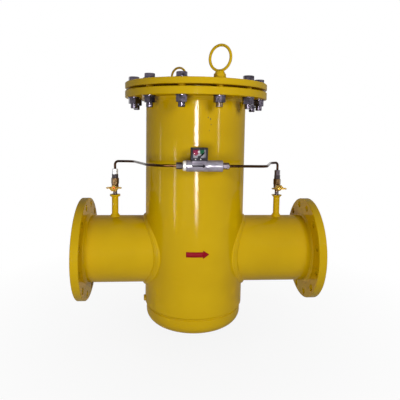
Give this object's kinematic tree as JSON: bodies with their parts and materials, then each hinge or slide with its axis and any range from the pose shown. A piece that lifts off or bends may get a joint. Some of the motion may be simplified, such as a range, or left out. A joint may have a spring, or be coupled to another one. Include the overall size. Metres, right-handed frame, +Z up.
{
  "type": "gas line filter",
  "caption": "Upright flanged gas filter: pleated cartridge in a steel vessel, bolted cover with lifting eyes, and a pressure difference indicator piped across it.",
  "frame": {"origin": "centre of the inlet flange's bolting face, on the nozzles' axis; the raised gasket face stands 3 mm out from it", "axes": "+X the way the gas flows, from inlet to outlet; +Z up along the vessel; the indicator faces -Y"},
  "size_m": [0.781, 0.46, 0.9032],
  "materials": {
    "enamel": "glossy yellow enamel",
    "primer": "satin primer inside the vessel",
    "zinc_steel": "dull zinc plating",
    "gasket": "compressed fibre sheet",
    "seal": "soft rubber",
    "bronze_body": "cast and machined, dull",
    "handle_gold": "yellow passivated",
    "screw_orange": "bright",
    "screw_gold": "bright",
    "bright_steel": "polished",
    "seat_plastic": "white, self-lubricating",
    "dark_steel": "phosphated",
    "white_zinc": "bright zinc",
    "grey_zinc": "grey zinc",
    "tube_copper": "dark brown, oxidised copper",
    "indicator_aluminium": "clear anodised",
    "nickel": "bright nickel",
    "magnet": "sintered",
    "case_grey": "moulded, satin",
    "clear": "clear flat pane",
    "dial_white": "white plate",
    "pointer_black": "black",
    "plain_steel": "galvanised",
    "paper": "pleated non-woven sheet"
  },
  "bodies": {
    "vessel": {"body_shell": "enamel", "bottom_head": "enamel", "head_weld": "enamel", "drain_boss": "enamel", "inlet_flange": "enamel", "outlet_flange": "enamel", "inlet_pipe": "enamel", "outlet_pipe": "enamel", "saddle_welds": "enamel", "body_flange": "enamel", "cover": "enamel", "inlet_stub": "enamel", "outlet_stub": "enamel", "front_lifting_eye": "enamel", "rear_lifting_eye": "enamel", "riser_level": "primer", "riser_upright": "primer", "seat_ring": "primer", "cover_bolts": "zinc_steel", "cover_washers": "zinc_steel", "cover_nuts": "zinc_steel", "drain_plug": "zinc_steel", "cover_gasket": "gasket", "cartridge_seals": "seal", "inlet_cock_body": "bronze_body", "outlet_cock_body": "bronze_body", "cock_gland_nuts": "bronze_body", "cock_seats": "seat_plastic", "tube_adapters": "dark_steel", "inlet_indicator_fitting": "dark_steel", "inlet_union_nut": "white_zinc", "outlet_union_nut": "grey_zinc", "outlet_indicator_fitting": "grey_zinc", "inlet_impulse_tube": "tube_copper", "outlet_impulse_tube": "tube_copper", "indicator_body": "indicator_aluminium", "indicator_saddle": "indicator_aluminium", "indicator_end_cap": "nickel", "dial_case": "case_grey", "dial_bezel": "case_grey", "dial_glass": "clear", "dial_face": "dial_white", "tie_rod": "plain_steel", "cartridge_base": "plain_steel", "cartridge_top": "plain_steel", "cartridge_core": "plain_steel", "hold_down_nut": "plain_steel", "filter_medium": "paper"},
    "inlet_cock_key": {"inlet_cock_ball": "bright_steel", "inlet_cock_stem": "bright_steel", "inlet_cock_handle": "handle_gold", "inlet_handle_screw": "screw_orange"},
    "outlet_cock_key": {"outlet_cock_ball": "bright_steel", "outlet_cock_stem": "bright_steel", "outlet_cock_handle": "handle_gold", "outlet_handle_screw": "screw_gold"},
    "indicator_slider": {"indicator_piston": "bright_steel", "piston_magnet": "magnet"},
    "indicator_hand": {"pointer": "pointer_black", "pointer_magnet": "magnet"}
  },
  "joints": [
    {"name": "inlet_cock_turn", "type": "hinge", "parent": "vessel", "child": "inlet_cock_key", "pos_m": [0.111, 0, 0.2075], "axis": [0, -1, 0], "range_deg": [0, 90]},
    {"name": "outlet_cock_turn", "type": "hinge", "parent": "vessel", "child": "outlet_cock_key", "pos_m": [0.656, 0, 0.2075], "axis": [0, -1, 0], "range_deg": [0, 90]},
    {"name": "piston_slide", "type": "slide", "parent": "vessel", "child": "indicator_slider", "axis": [1, 0, 0], "range_m": [0, 0.012], "stiffness_N_per_m": 150, "springref_m": -0.01},
    {"name": "pointer_swing", "type": "hinge", "parent": "vessel", "child": "indicator_hand", "pos_m": [0.3735, -0.195, 0.322], "axis": [0, -1, 0], "range_deg": [0, 92]}
  ],
  "couplings": [
    {"joint": "pointer_swing", "follows": "piston_slide", "rad_per_m": 130.9}
  ]
}
